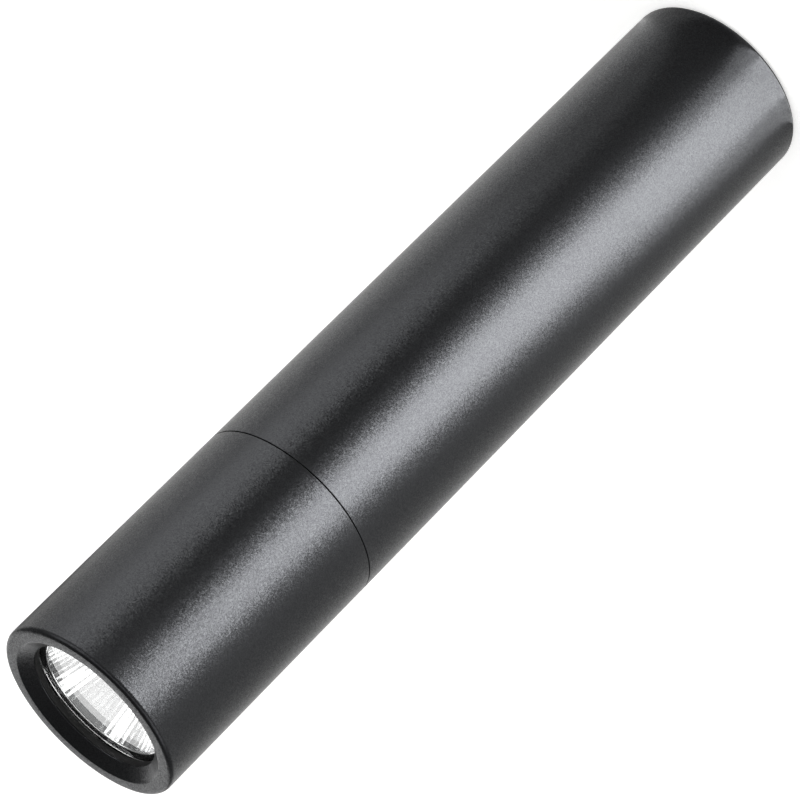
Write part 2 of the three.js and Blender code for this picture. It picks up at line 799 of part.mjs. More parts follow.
place(head, 'driver_capacitor', block(capacitorSide, capacitorWidth, capacitorHeight),
  ceramicTan, driverTop);
place(head, 'driver_contact', driverContact(), brass, driverContactZ);
place(head, 'driver_ring',
  slottedRing(driverRadius - driverRingWidth, driverRadius, driverRingHeight)
    .rotateX(Math.PI).translate(0, 0, driverRingHeight),
  bareAluminium, driverRingZ);

const torch = new THREE.Group();
torch.add(barrel, button, battery, head);

export default torch;
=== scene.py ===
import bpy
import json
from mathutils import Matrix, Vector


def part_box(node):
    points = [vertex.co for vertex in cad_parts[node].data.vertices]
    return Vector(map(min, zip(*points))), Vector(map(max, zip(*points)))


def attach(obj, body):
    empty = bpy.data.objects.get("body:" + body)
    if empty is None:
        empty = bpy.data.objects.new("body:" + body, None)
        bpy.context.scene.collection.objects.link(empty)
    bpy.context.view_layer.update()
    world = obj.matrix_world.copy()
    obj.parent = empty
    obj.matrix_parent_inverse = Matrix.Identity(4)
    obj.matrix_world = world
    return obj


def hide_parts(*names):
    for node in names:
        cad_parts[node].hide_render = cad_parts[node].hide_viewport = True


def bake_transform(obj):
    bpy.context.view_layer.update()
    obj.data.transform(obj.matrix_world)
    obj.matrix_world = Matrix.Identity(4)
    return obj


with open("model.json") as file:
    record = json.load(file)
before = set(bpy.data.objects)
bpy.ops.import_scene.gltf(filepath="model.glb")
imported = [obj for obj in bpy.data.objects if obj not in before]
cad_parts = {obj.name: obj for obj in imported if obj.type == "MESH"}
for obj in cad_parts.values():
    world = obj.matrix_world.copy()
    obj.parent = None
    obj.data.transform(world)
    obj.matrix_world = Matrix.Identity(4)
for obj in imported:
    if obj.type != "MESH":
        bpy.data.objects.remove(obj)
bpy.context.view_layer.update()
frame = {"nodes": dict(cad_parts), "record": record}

import json
import math

import bmesh
import bpy
from mathutils import Matrix, Vector

mm = 0.001
sharpAngle = math.radians(30)  # flatter edges than this are shaded smooth
mergeDistance = 0.0005 * mm
waveTurn = 20  # radians that a wave pattern turns through in one unit of its scale


# The lengths of a piece's dictionary in metres. Its counts and shares are read from the dictionary itself.
def inMetres(sizes):
    return {name: value * mm for name, value in sizes.items()}


# Node and colour helpers

def toLinear(hexColour):
    channels = [int(hexColour[i:i + 2], 16) / 255 for i in (1, 3, 5)]
    linear = [c / 12.92 if c <= 0.04045 else ((c + 0.055) / 1.055) ** 2.4 for c in channels]
    return (*linear, 1)


def addNode(tree, kind, inputs=None, **settings):
    node = tree.nodes.new(kind)
    for name, value in settings.items():
        setattr(node, name, value)
    for name, value in (inputs or {}).items():
        if isinstance(value, bpy.types.NodeSocket):
            tree.links.new(value, node.inputs[name])
        else:
            node.inputs[name].default_value = value
    return node


def newFinish(name, shaderInputs):
    material = bpy.data.materials.new(name)
    material.use_nodes = True
    tree = material.node_tree
    tree.nodes.clear()
    shader = addNode(tree, "ShaderNodeBsdfPrincipled", shaderInputs)
    addNode(tree, "ShaderNodeOutputMaterial", {"Surface": shader.outputs["BSDF"]})
    place = addNode(tree, "ShaderNodeTexCoord").outputs["Object"]
    return material, tree, shader, place


def perMetre(size):
    return 1 / (size * mm)  # scale of a noise or cell pattern whose grain is this many mm


def ringsPerMetre(spacing):
    return math.tau / waveTurn / (spacing * mm)  # scale of a wave pattern with this many mm between crests


# Finishes

anodisedLook = {
    "darkGrain": "#262628",
    "brightGrain": "#343536",
    "edgeTint": "#e6e6e6",
    "roughness": (0.3, 0.34),
    "grit": 0.12,  # mm, the blasted grain, drawn about twice as coarse as the real one so that it shows
    "grainTilt": 0.13,  # how far the grains lean, as the spread of the slope
    "clouding": 9.0,  # mm, soft clouds in the gloss
}


# Black anodised aluminium, bead blasted: satin black with a fine sparkling grain and soft broad highlights
def anodisedAluminium():
    look = anodisedLook
    material, tree, shader, place = newFinish("blasted black anodised aluminium", {
        "Metallic": 1, "Specular Tint": toLinear(look["edgeTint"]),
    })
    grit = addNode(tree, "ShaderNodeTexVoronoi", {"Vector": place, "Scale": perMetre(look["grit"])})
    grain = addNode(tree, "ShaderNodeMix", {
        "Factor": grit.outputs["Color"],
        "A": toLinear(look["darkGrain"]),
        "B": toLinear(look["brightGrain"]),
    }, data_type="RGBA")
    tree.links.new(grain.outputs["Result"], shader.inputs["Base Color"])
    clouds = addNode(tree, "ShaderNodeTexNoise", {"Vector": place, "Scale": perMetre(look["clouding"])})
    satin = addNode(tree, "ShaderNodeMapRange", {
        "Value": clouds.outputs["Fac"],
        "To Min": look["roughness"][0],
        "To Max": look["roughness"][1],
    })
    tree.links.new(satin.outputs["Result"], shader.inputs["Roughness"])
    facing = addNode(tree, "ShaderNodeNewGeometry").outputs["Normal"]
    uprightGrain = (0.5, 0.5, 0.5)  # a cell's colour runs from 0 to 1, and its middle leans nowhere
    lean = addNode(tree, "ShaderNodeVectorMath", {
        0: grit.outputs["Color"], 1: uprightGrain,
    }, operation="SUBTRACT")
    tilted = addNode(tree, "ShaderNodeVectorMath", {
        0: lean.outputs["Vector"], 1: (look["grainTilt"],) * 3, 2: facing,
    }, operation="MULTIPLY_ADD")
    grainNormal = addNode(tree, "ShaderNodeVectorMath", {0: tilted.outputs["Vector"]}, operation="NORMALIZE")
    tree.links.new(grainNormal.outputs["Vector"], shader.inputs["Normal"])
    return material


turnedLook = {
    "ringSpacing": 0.18,  # mm between the tool's rings
    "ringDepth": 0.004,  # mm
    "wobble": 0.6,
    "detail": 2,
    "roughnessSpread": (-0.06, 0.08),
}


# Turned metal: bright, with fine lathe rings round the axis that stretch its highlights
def turnedMetal(name, colour, roughness):
    look = turnedLook
    material, tree, shader, place = newFinish(name, {"Base Color": toLinear(colour), "Metallic": 1})
    rings = addNode(tree, "ShaderNodeTexWave", {
        "Vector": place,
        "Scale": ringsPerMetre(look["ringSpacing"]),
        "Distortion": look["wobble"],
        "Detail": look["detail"],
    }, wave_type="RINGS", rings_direction="Z")
    wear = addNode(tree, "ShaderNodeMapRange", {
        "Value": rings.outputs["Fac"],
        "To Min": roughness + look["roughnessSpread"][0],
        "To Max": roughness + look["roughnessSpread"][1],
    })
    bump = addNode(tree, "ShaderNodeBump", {
        "Height": rings.outputs["Fac"], "Distance": look["ringDepth"] * mm,
    })
    tree.links.new(wear.outputs["Result"], shader.inputs["Roughness"])
    tree.links.new(bump.outputs["Normal"], shader.inputs["Normal"])
    return material


platedLook = {
    "haze": 2.5,  # mm, size of the clouds
    "detail": 4,
    "roughnessSpread": (-0.05, 0.1),
}


# Nickel plate on steel or a drawn can: smooth and bright, clouded a little where it was handled
def platedMetal(name, colour, roughness):
    look = platedLook
    material, tree, shader, place = newFinish(name, {"Base Color": toLinear(colour), "Metallic": 1})
    haze = addNode(tree, "ShaderNodeTexNoise", {
        "Vector": place, "Scale": perMetre(look["haze"]), "Detail": look["detail"],
    })
    wear = addNode(tree, "ShaderNodeMapRange", {
        "Value": haze.outputs["Fac"],
        "To Min": roughness + look["roughnessSpread"][0],
        "To Max": roughness + look["roughnessSpread"][1],
    })
    tree.links.new(wear.outputs["Result"], shader.inputs["Roughness"])
    return material


# Vacuum-coated aluminium on a moulded cup: a clean mirror with the faintest haze
def mirrorCoat():
    return platedMetal("vacuum-coated aluminium mirror", "#eceded", 0.06)


# Toughened float glass, polished: clear, seen by its reflections and its dark edge
def floatGlass():
    return newFinish("polished float glass", {
        "Base Color": toLinear("#fefefe"), "Roughness": 0, "IOR": 1.52, "Transmission Weight": 1,
    })[0]


# Cast clear silicone: a soft lens over the chip, a little warm and not quite polished
def castSilicone():
    return newFinish("cast clear silicone", {
        "Base Color": toLinear("#fff8e6"), "Roughness": 0.06, "IOR": 1.41, "Transmission Weight": 1,
    })[0]


mouldedLook = {
    "shades": (0.8, 1.2),  # darkest and lightest share of the colour
    "detail": 3,
}


# Moulded parts: an even colour broken by a fine spark-eroded mould texture
def mouldedPart(name, colour, roughness, texture, textureHeight):
    look = mouldedLook
    material, tree, shader, place = newFinish(name, {"Roughness": roughness})
    cloud = addNode(tree, "ShaderNodeTexNoise", {
        "Vector": place, "Scale": perMetre(texture), "Detail": look["detail"],
    })
    base = Vector(toLinear(colour)[:3])
    dark, light = [(*(base * shade), 1) for shade in look["shades"]]
    tint = addNode(tree, "ShaderNodeMix", {
        "Factor": cloud.outputs["Fac"], "A": dark, "B": light,
    }, data_type="RGBA")
    bump = addNode(tree, "ShaderNodeBump", {
        "Height": cloud.outputs["Fac"], "Distance": textureHeight * mm,
    })
    tree.links.new(tint.outputs["Result"], shader.inputs["Base Color"])
    tree.links.new(bump.outputs["Normal"], shader.inputs["Normal"])
    return material


boardLook = {
    "roughness": 0.32,
    "weave": 0.45,  # mm between threads
    "weaveHeight": 0.004,  # mm
    "shades": (0.85, 1.25),
}


# Fibreglass board under solder mask: glossy, with the weave just showing through
def boardMask(name, colour):
    look = boardLook
    material, tree, shader, place = newFinish(name, {"Roughness": look["roughness"]})
    threads = [
        addNode(tree, "ShaderNodeTexWave", {"Vector": place, "Scale": ringsPerMetre(look["weave"])},
                bands_direction=direction).outputs["Fac"]
        for direction in "XY"
    ]
    cloth = addNode(tree, "ShaderNodeMath", {0: threads[0], 1: threads[1]}, operation="MULTIPLY")
    base = Vector(toLinear(colour)[:3])
    dark, light = [(*(base * shade), 1) for shade in look["shades"]]
    tint = addNode(tree, "ShaderNodeMix", {
        "Factor": cloth.outputs["Value"], "A": dark, "B": light,
    }, data_type="RGBA")
    bump = addNode(tree, "ShaderNodeBump", {
        "Height": cloth.outputs["Value"], "Distance": look["weaveHeight"] * mm,
    })
    tree.links.new(tint.outputs["Result"], shader.inputs["Base Color"])
    tree.links.new(bump.outputs["Normal"], shader.inputs["Normal"])
    return material


filmLook = {
    "colour": "#2a5f9e",
    "line": 0.8,  # mm across
    "drawnOut": 0.04,  # scale of the lines along the cell, against across it
    "lineHeight": 0.01,  # mm
    "roughness": (0.18, 0.38),
}


# Shrunk PVC film: glossy, drawn into faint lines along the cell
def shrinkFilm():
    look = filmLook
    material, tree, shader, place = newFinish("shrunk film", {"Base Color": toLinear(look["colour"])})
    drawn = addNode(tree, "ShaderNodeMapping", {"Vector": place, "Scale": (1, 1, look["drawnOut"])})
    lines = addNode(tree, "ShaderNodeTexNoise", {
        "Vector": drawn.outputs["Vector"], "Scale": perMetre(look["line"]),
    })
    gloss = addNode(tree, "ShaderNodeMapRange", {
        "Value": lines.outputs["Fac"],
        "To Min": look["roughness"][0],
        "To Max": look["roughness"][1],
    })
    bump = addNode(tree, "ShaderNodeBump", {
        "Height": lines.outputs["Fac"], "Distance": look["lineHeight"] * mm,
    })
    tree.links.new(gloss.outputs["Result"], shader.inputs["Roughness"])
    tree.links.new(bump.outputs["Normal"], shader.inputs["Normal"])
    return material


# Each slot's finish: its name, colour and roughness and, on moulded parts, the grain and the height of
# the texture in mm
finishes = {
    "anodised_black": anodisedAluminium(),
    "bare_aluminium": turnedMetal("turned aluminium", "#c3c6c9", 0.3),
    "brass": turnedMetal("turned brass", "#c9a45a", 0.28),
    "cell_metal": platedMetal("drawn nickel-plated can", "#bdbcb8", 0.28),
    "spring_steel": platedMetal("nickel-plated spring steel", "#c9c6bf", 0.24),
    "mirror": mirrorCoat(),
    "glass": floatGlass(),
    "silicone": castSilicone(),
    "rubber": mouldedPart("moulded silicone rubber", "#1c1c1c", 0.6, 0.22, 0.04),
    "white_plastic": mouldedPart("moulded white nylon", "#e4e3dd", 0.48, 0.3, 0.006),
    "black_plastic": mouldedPart("moulded black nylon", "#1c1c1d", 0.5, 0.3, 0.008),
    "phosphor": mouldedPart("phosphor in silicone", "#e2bd3c", 0.4, 0.12, 0.006),
    "ferrite": mouldedPart("sintered ferrite", "#3b3b3d", 0.7, 0.15, 0.012),
    "ceramic": mouldedPart("fired ceramic", "#b08d62", 0.55, 0.15, 0.006),
    "wire_red": mouldedPart("soft red wire sheath", "#b02522", 0.5, 0.4, 0.004),
    "board_green": boardMask("green solder mask on fibreglass", "#1f5a38"),
    "board_white": boardMask("white solder mask on metal core", "#dfe0dc"),
    "cell_sleeve": shrinkFilm(),
}
ceramicWhite = mouldedPart("white ceramic", "#e9e7e0", 0.35, 0.2, 0.003)
print("finishes:", len(finishes) + 1)


# Modelling helpers

def selectWhere(piece, kind, wanted):
    bpy.ops.mesh.select_mode(type=kind)
    bpy.ops.mesh.select_all(action="DESELECT")
    mesh = bmesh.from_edit_mesh(piece.data)
    for part in {"VERT": mesh.verts, "EDGE": mesh.edges, "FACE": mesh.faces}[kind]:
        part.select_set(wanted(part))
    mesh.select_flush_mode()
    bmesh.update_edit_mesh(piece.data)


def nameNew(name):
    piece = bpy.context.object
    piece.name = name
    piece.data.name = name
    return piece


# A vertex is drawn out from corner to corner in the XZ plane. A corner is (radius, height) and, where it is
# rounded, how far from the corner its curve starts.
def drawOutline(name, corners, closed=True, roundSteps=5):
    bpy.ops.object.select_all(action="DESELECT")
    bpy.ops.mesh.primitive_plane_add(size=mm)
    piece = nameNew(name)
    bpy.ops.object.mode_set(mode="EDIT")
    bpy.ops.mesh.select_mode(type="VERT")
    bpy.ops.mesh.select_all(action="SELECT")
    bpy.ops.mesh.merge(type="CENTER")
    bpy.ops.transform.translate(value=(corners[0][0], 0, corners[0][1]))
    for here, there in zip(corners, corners[1:]):
        step = (there[0] - here[0], 0, there[1] - here[1])
        bpy.ops.mesh.extrude_vertices_move(TRANSFORM_OT_translate={"value": step})
    if closed:
        selectWhere(piece, "VERT", lambda vertex: len(vertex.link_edges) == 1)
        bpy.ops.mesh.edge_face_add()
    for radius, height, *curve in corners:
        if curve:
            spot = Vector((radius, 0, height))
            selectWhere(piece, "VERT", lambda vertex: (vertex.co - spot).length < mergeDistance)
            bpy.ops.mesh.bevel(offset=curve[0], segments=roundSteps, affect="VERTICES")
    return piece


def closeUp():
    bpy.ops.mesh.select_all(action="SELECT")
    bpy.ops.mesh.remove_doubles(threshold=mergeDistance)
    bpy.ops.mesh.normals_make_consistent(inside=False)
    bpy.ops.object.mode_set(mode="OBJECT")


# Smooth over curves, crisp at corners, with flat stretches kept flat beside small rounded edges
def shadeEdges(piece):
    bpy.ops.object.shade_smooth_by_angle(angle=sharpAngle)
    bpy.ops.object.modifier_add(type="WEIGHTED_NORMAL")
    piece.modifiers[-1].keep_sharp = True
    bpy.ops.object.modifier_apply(modifier=piece.modifiers[-1].name)


# An outline spun round the torch's axis
def turnOutline(name, corners, steps, closed=True, roundSteps=5):
    piece = drawOutline(name, corners, closed, roundSteps)
    bpy.ops.mesh.select_all(action="SELECT")
    bpy.ops.mesh.spin(steps=steps, angle=math.tau, center=(0, 0, 0), axis=(0, 0, 1))
    closeUp()
    return piece


def turnPiece(name, corners, steps=192, closed=True, roundSteps=5):
    piece = turnOutline(name, corners, steps, closed, roundSteps)
    shadeEdges(piece)
    return piece


# A wire section or tooth wound up the torch's axis
def windUp(piece, pitch, turns, stepsPerTurn):
    bpy.ops.object.modifier_add(type="SCREW")
    screw = piece.modifiers[-1]
    screw.axis = "Z"
    screw.screw_offset = pitch * turns
    screw.angle = math.tau * turns
    screw.steps = round(stepsPerTurn * turns)
    screw.render_steps = screw.steps
    bpy.ops.object.modifier_apply(modifier=screw.name)


def capEnds():
    bpy.ops.object.mode_set(mode="EDIT")
    bpy.ops.mesh.select_all(action="SELECT")
    bpy.ops.mesh.fill_holes(sides=0)
    closeUp()


def dress(piece, slotName, *nodes):
    piece.data.materials.append(finishes[slotName])
    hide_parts(*nodes)
    return piece


# Barrel, with sizes in mm

tubeSizes = {
    "tailEdge": 0.7,
    "flareWidth": 1.4,  # of the dish round the button
    "flareDepth": 1.0,
    "buttonHole": 6.3,
    "tailWall": 3.0,
    "switchBore": 9.2,
    "switchBoreTop": 19.65,
    "cellBore": 9.45,
    "neck": 10.95,
    "neckRoot": 10.45,  # bottom of the screw thread
    "seamGap": 0.09,
    "seamEdge": 0.09,
    "grooveFloor": 10.15,
    "groovePlay": 0.15,
    "threadRelief": 0.7,
    "smallEdge": 0.08,
}
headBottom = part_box("head_shell")[0].z
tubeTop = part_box("body_tube")[1]
sealLow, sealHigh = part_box("neck_seal")


def makeBodyTube():
    size = inMetres(tubeSizes)
    outer = tubeTop.x
    shoulder = headBottom - size["seamGap"]
    grooveLow = sealLow.z - size["groovePlay"]
    grooveHigh = sealHigh.z + size["groovePlay"]
    edge = size["smallEdge"]
    corners = [
        (size["buttonHole"], size["tailWall"]),
        (size["buttonHole"], size["flareDepth"], edge),
        (size["buttonHole"] + size["flareWidth"], 0, edge),
        (outer, 0, size["tailEdge"]),
        (outer, shoulder, size["seamEdge"]),
        (size["neck"], shoulder),
        (size["neck"], grooveLow, edge),
        (size["grooveFloor"], grooveLow, edge),
        (size["grooveFloor"], grooveHigh, edge),
        (size["neck"], grooveHigh, edge),
        (size["neck"], grooveHigh + size["threadRelief"] / 2, edge),
        (size["neckRoot"], grooveHigh + size["threadRelief"], edge),
        (size["neckRoot"], tubeTop.z, edge),
        (size["cellBore"], tubeTop.z, edge),
        (size["cellBore"], size["switchBoreTop"] + size["cellBore"] - size["switchBore"]),
        (size["switchBore"], size["switchBoreTop"]),
        (size["switchBore"], size["tailWall"]),
    ]
    tube = turnPiece("bodyTube", corners)
    dress(tube, "anodised_black", "body_tube")
    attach(tube, "barrel")


threadSizes = {
    "pitch": 1.0,
    "baseWidth": 0.8,
    "crestWidth": 0.32,
    "sunk": 0.06,  # how deep the tooth's foot sits in the neck
    "crestRadius": 10.95,
    "startAboveSeal": 1.3,
    "turns": 6.5,
    "runOut": 0.4,  # turns over which the tooth rises at each end
    "leastRise": 0.02,  # share of the tooth that is left at its ends
    "stepsPerTurn": 96,
}


# Screw thread on the neck, rising out of the metal at each end
def makeNeckThread():
    size, count = inMetres(threadSizes), threadSizes
    foot = tubeSizes["neckRoot"] * mm - size["sunk"]
    crest = size["crestRadius"]
    middle = sealHigh.z + size["startAboveSeal"]
    halfBase, halfCrest = size["baseWidth"] / 2, size["crestWidth"] / 2
    corners = [
        (foot, middle - halfBase), (crest, middle - halfCrest),
        (crest, middle + halfCrest), (foot, middle + halfBase),
    ]
    thread = drawOutline("neckThread", corners)
    bpy.ops.object.mode_set(mode="OBJECT")
    windUp(thread, size["pitch"], count["turns"], count["stepsPerTurn"])
    lastStep = len(thread.data.vertices) // len(corners) - 1
    rampSteps = count["runOut"] * count["stepsPerTurn"]
    for vertex in thread.data.vertices:
        step = vertex.index // len(corners)
        ramp = min(1, min(step, lastStep - step) / rampSteps)
        radius = math.hypot(vertex.co.x, vertex.co.y)
        wanted = foot + (radius - foot) * max(ramp, count["leastRise"])
        vertex.co.xy *= wanted / radius
    capEnds()
    shadeEdges(thread)
    thread.data.materials.append(finishes["anodised_black"])
    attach(thread, "barrel")


neckSealShape = {
    "ringSteps": 160,
    "cordSteps": 20,
    "flattened": 0.995,  # the outside is pressed a little flat by the head's bore
    "flatDepth": 0.5,  # share of the cord's radius that is pressed
}


# O-ring on the neck
def makeNeckSeal():
    shape = neckSealShape
    cord = (sealHigh.z - sealLow.z) / 2
    bpy.ops.object.select_all(action="DESELECT")
    bpy.ops.mesh.primitive_torus_add(
        major_radius=sealHigh.x - cord, minor_radius=cord,
        major_segments=shape["ringSteps"], minor_segments=shape["cordSteps"],
        location=(0, 0, (sealLow.z + sealHigh.z) / 2))
    seal = nameNew("neckSeal")
    bpy.ops.object.transform_apply()
    bpy.ops.object.mode_set(mode="EDIT")
    flatFrom = sealHigh.x - shape["flatDepth"] * cord
    selectWhere(seal, "FACE", lambda face: face.calc_center_median().xy.length > flatFrom)
    bpy.ops.transform.resize(value=(shape["flattened"], shape["flattened"], 1))
    bpy.ops.object.mode_set(mode="OBJECT")
    bpy.ops.object.shade_smooth()
    dress(seal, "rubber", "neck_seal")
    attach(seal, "barrel")


bootSizes = {
    "radius": 6.1,
    "wall": 1.1,
    "floor": 1.2,
    "edge": 1.1,
    "crown": 0.3,
    "crownStart": 2.745,  # radius of the flat middle
    "crownCurve": 1.2,
    "flange": 1.0,
    "flangeCurve": 0.1,
    "insideCurve": 0.3,
}


# Rubber cap over the switch, with a flange that sits in the tube
def makeSwitchBoot():
    size = inMetres(bootSizes)
    low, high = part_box("switch_boot")
    flangeLow = high.z - size["flange"]
    floorTop = low.z + size["floor"]
    corners = [
        (0, low.z),
        (size["crownStart"], low.z, size["crownCurve"]),
        (size["radius"], low.z + size["crown"], size["edge"]),
        (size["radius"], flangeLow, size["flangeCurve"]),
        (high.x, flangeLow),
        (high.x, high.z),
        (size["radius"] - size["wall"], high.z),
        (size["radius"] - size["wall"], floorTop, size["insideCurve"]),
        (0, floorTop),
    ]
    boot = turnPiece("switchBoot", corners, steps=128, closed=False, roundSteps=8)
    dress(boot, "rubber", "switch_boot")
    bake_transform(boot)


springSizes = {
    "tail_spring": {"wire": 1.0, "firstRadius": 5.6, "lastRadius": 3.2, "turns": 5},
    "switch_spring": {"wire": 0.4, "firstRadius": 2.0, "lastRadius": 2.0, "turns": 5},
}


# Round wire wound into a spring, drawn in evenly towards its last turn
def makeSpring(name, node, wireSides=12, stepsPerTurn=40):
    size, turns = inMetres(springSizes[node]), springSizes[node]["turns"]
    low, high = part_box(node)
    bpy.ops.object.select_all(action="DESELECT")
    bpy.ops.mesh.primitive_circle_add(
        vertices=wireSides, radius=size["wire"] / 2, rotation=(math.pi / 2, 0, 0),
        location=(size["firstRadius"], 0, low.z + size["wire"] / 2))
    spring = nameNew(name)
    bpy.ops.object.transform_apply()
    pitch = (high.z - low.z - size["wire"]) / turns
    windUp(spring, pitch, turns, stepsPerTurn)
    steps = stepsPerTurn * turns
    for vertex in spring.data.vertices:
        share = vertex.index // wireSides / steps
        radius = math.hypot(vertex.co.x, vertex.co.y)
        drawnIn = (size["firstRadius"] - size["lastRadius"]) * share
        vertex.co.xy *= (radius - drawnIn) / radius
    capEnds()
    bpy.ops.object.shade_smooth_by_angle(angle=sharpAngle)
    return dress(spring, "spring_steel", node)


makeBodyTube()
makeNeckThread()
makeNeckSeal()
makeSwitchBoot()
tailSpring = makeSpring("tailSpring", "tail_spring")
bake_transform(tailSpring)
switchSpring = makeSpring("switchSpring", "switch_spring")
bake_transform(switchSpring)
print("barrel pieces made")


# Head, with sizes in mm

headSizes = {
    "seamEdge": 0.09,
    "bezelEdge": 0.6,
    "flareRadius": 10.6,
    "flareDepth": 1.2,
    "aperture": 9.0,
    "lipUnder": 118.7,
    "lensBore": 10.15,
    "lensBoreLow": 101.35,
    "pillBore": 10.75,
    "pillBoreLow": 95.95,
    "neckBore": 11.15,
    "neckLead": 0.5,
    "smallEdge": 0.06,
}


def makeHeadShell():
    size = inMetres(headSizes)
    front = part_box("head_shell")[1]
    outer = front.x
    edge = size["smallEdge"]
    corners = [
        (size["neckBore"] + size["neckLead"], headBottom),
        (outer, headBottom, size["seamEdge"]),
        (outer, front.z, size["bezelEdge"]),
        (size["flareRadius"], front.z, edge),
        (size["aperture"], front.z - size["flareDepth"], edge),
        (size["aperture"], size["lipUnder"]),
        (size["lensBore"], size["lipUnder"]),
        (size["lensBore"], size["lensBoreLow"]),
        (size["pillBore"], size["lensBoreLow"]),
        (size["pillBore"], size["pillBoreLow"]),
        (size["neckBore"], size["pillBoreLow"]),
        (size["neckBore"], headBottom + size["neckLead"]),
    ]
    shell = turnPiece("headShell", corners)
    dress(shell, "anodised_black", "head_shell")
    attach(shell, "head")


lensSizes = {
    "sealEdge": 0.12,
    "chamfer": 0.15,
    "steps": 160,  # round both
}


# Rubber ring between the bezel's lip and the lens
def makeLensSeal():
    low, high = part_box("lens_seal")
    inner = high.x - (high.z - low.z)
    edge = lensSizes["sealEdge"] * mm
    corners = [
        (inner, low.z, edge), (high.x, low.z, edge), (high.x, high.z, edge), (inner, high.z, edge),
    ]
    seal = turnPiece("lensSeal", corners, lensSizes["steps"])
    dress(seal, "rubber", "lens_seal")
    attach(seal, "head")


def makeLens():
    low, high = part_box("lens")
    chamfer = lensSizes["chamfer"] * mm
    corners = [
        (0, low.z), (high.x - chamfer, low.z), (high.x, low.z + chamfer),
        (high.x, high.z - chamfer), (high.x - chamfer, high.z), (0, high.z),
    ]
    lens = turnPiece("lensGlass", corners, lensSizes["steps"], closed=False)
    dress(lens, "glass", "lens")
    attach(lens, "head")


reflectorSizes = {
    "mouth": 8.4,
    "mouthEdge": 0.22,
    "hole": 3.01,
    "land": 0.6,
    "foot": 5.01,
    "footHeight": 1.2,
    "flange": 1.4,
    "grooveInner": 9.55,  # moulded groove in the rim
    "grooveOuter": 9.9,
    "grooveDepth": 0.16,
    "grooveCurve": 0.144,
    "cushion": 0.013,  # how far each flute bulges
    "flutes": 72,
    "rows": 20,  # steps that draw the curve of each flute
    "fluteCuts": 3,
    "fluteAngle": 6,  # degrees, sharper edges than this show between the flutes
    "leastSlope": 0.1,  # of a face that belongs to the mirror
    "rimSteps": 160,
}


# Rim of the mirror cup: a round flange under the lens, with a moulded groove and a rounded mouth
def makeReflectorRim(size, high):
    corners = [
        (size["mouth"], high.z - size["flange"]),
        (high.x, high.z - size["flange"]),
        (high.x, high.z),
        (size["grooveOuter"], high.z),
        (size["grooveOuter"], high.z - size["grooveDepth"], size["grooveCurve"]),
        (size["grooveInner"], high.z - size["grooveDepth"], size["grooveCurve"]),
        (size["grooveInner"], high.z),
        (size["mouth"], high.z, size["mouthEdge"]),
    ]
    return turnPiece("reflectorRim", corners, reflectorSizes["rimSteps"])


# Mirror cup: a paraboloid of gently rounded flutes that stands on the gasket by a short foot
def makeReflector():
    size, count = inMetres(reflectorSizes), reflectorSizes
    rows, flutes, slope = count["rows"], count["flutes"], count["leastSlope"]
    low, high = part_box("reflector")
    rim = makeReflectorRim(size, high)
    mirrorLow = low.z + size["land"]
    rowHeight = (high.z - size["mouthEdge"] - mirrorLow) / rows
    corners = [
        (size["hole"], low.z),
        (size["foot"], low.z),
        (size["foot"], low.z + size["footHeight"]),
        (size["mouth"], high.z - size["flange"]),
    ]
    for row in range(rows, -1, -1):
        radius = math.sqrt(size["hole"] ** 2 + (size["mouth"] ** 2 - size["hole"] ** 2) * row / rows)
        corners.append((radius, mirrorLow + rowHeight * row))
    cup = turnOutline("reflectorCup", corners, flutes)
    bpy.ops.object.mode_set(mode="EDIT")
    selectWhere(cup, "FACE", lambda face: face.normal.z > slope
                and face.normal.xy.dot(face.calc_center_median().xy) < -slope * size["hole"])
    bpy.ops.mesh.subdivide(number_cuts=count["fluteCuts"])
    mirror = bmesh.from_edit_mesh(cup.data)
    for vertex in {vertex for face in mirror.faces if face.select for vertex in face.verts}:
        across = (math.atan2(vertex.co.y, vertex.co.x) / math.tau * flutes) % 1
        cushion = size["cushion"] * (1 - (2 * across - 1) ** 2)
        vertex.co.xy *= 1 - cushion / vertex.co.xy.length
    bmesh.update_edit_mesh(cup.data)
    bpy.ops.object.mode_set(mode="OBJECT")
    bpy.ops.object.shade_smooth_by_angle(angle=math.radians(count["fluteAngle"]))
    rim.select_set(True)
    bpy.ops.object.join()
    dress(cup, "mirror", "reflector")
    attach(cup, "head")


ledSizes = {
    "corner": 0.25,
    "die": 2.3,
    "dieHeight": 0.08,
    "cornerSteps": 3,
    "levelFace": 0.9,  # least upward part of the normal of the top
    "domeCurve": 0.98,  # share of the dome's radius that is rounded
    "domeSteps": 64,
    "domeRoundSteps": 16,
}


# Emitter: a ceramic square with a raised phosphor die
def makeEmitter():
    size = inMetres(ledSizes)
    low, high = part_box("led_package")
    die = Vector((0, 0, size["dieHeight"]))
    bpy.ops.object.select_all(action="DESELECT")
    bpy.ops.mesh.primitive_cube_add(size=1, location=(low + high - die) / 2, scale=high - low - die)
    chip = nameNew("ledChip")
    bpy.ops.object.transform_apply()
    bpy.ops.object.mode_set(mode="EDIT")
    selectWhere(chip, "FACE", lambda face: face.normal.z > ledSizes["levelFace"])
    bpy.ops.mesh.inset(thickness=(high.x - low.x - size["die"]) / 2)
    bpy.ops.mesh.extrude_region_move(TRANSFORM_OT_translate={"value": die})
    chip.data.materials.append(ceramicWhite)
    chip.data.materials.append(finishes["phosphor"])
    chip.active_material_index = 1
    bpy.ops.object.material_slot_assign()

    def isOuterCorner(edge):
        run = edge.verts[0].co - edge.verts[1].co
        return abs(run.z) > size["dieHeight"] * 2 and run.xy.length < mergeDistance

    selectWhere(chip, "EDGE", isOuterCorner)
    bpy.ops.mesh.bevel(offset=size["corner"], segments=ledSizes["cornerSteps"])
    bpy.ops.object.mode_set(mode="OBJECT")
    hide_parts("led_package")
    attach(chip, "head")


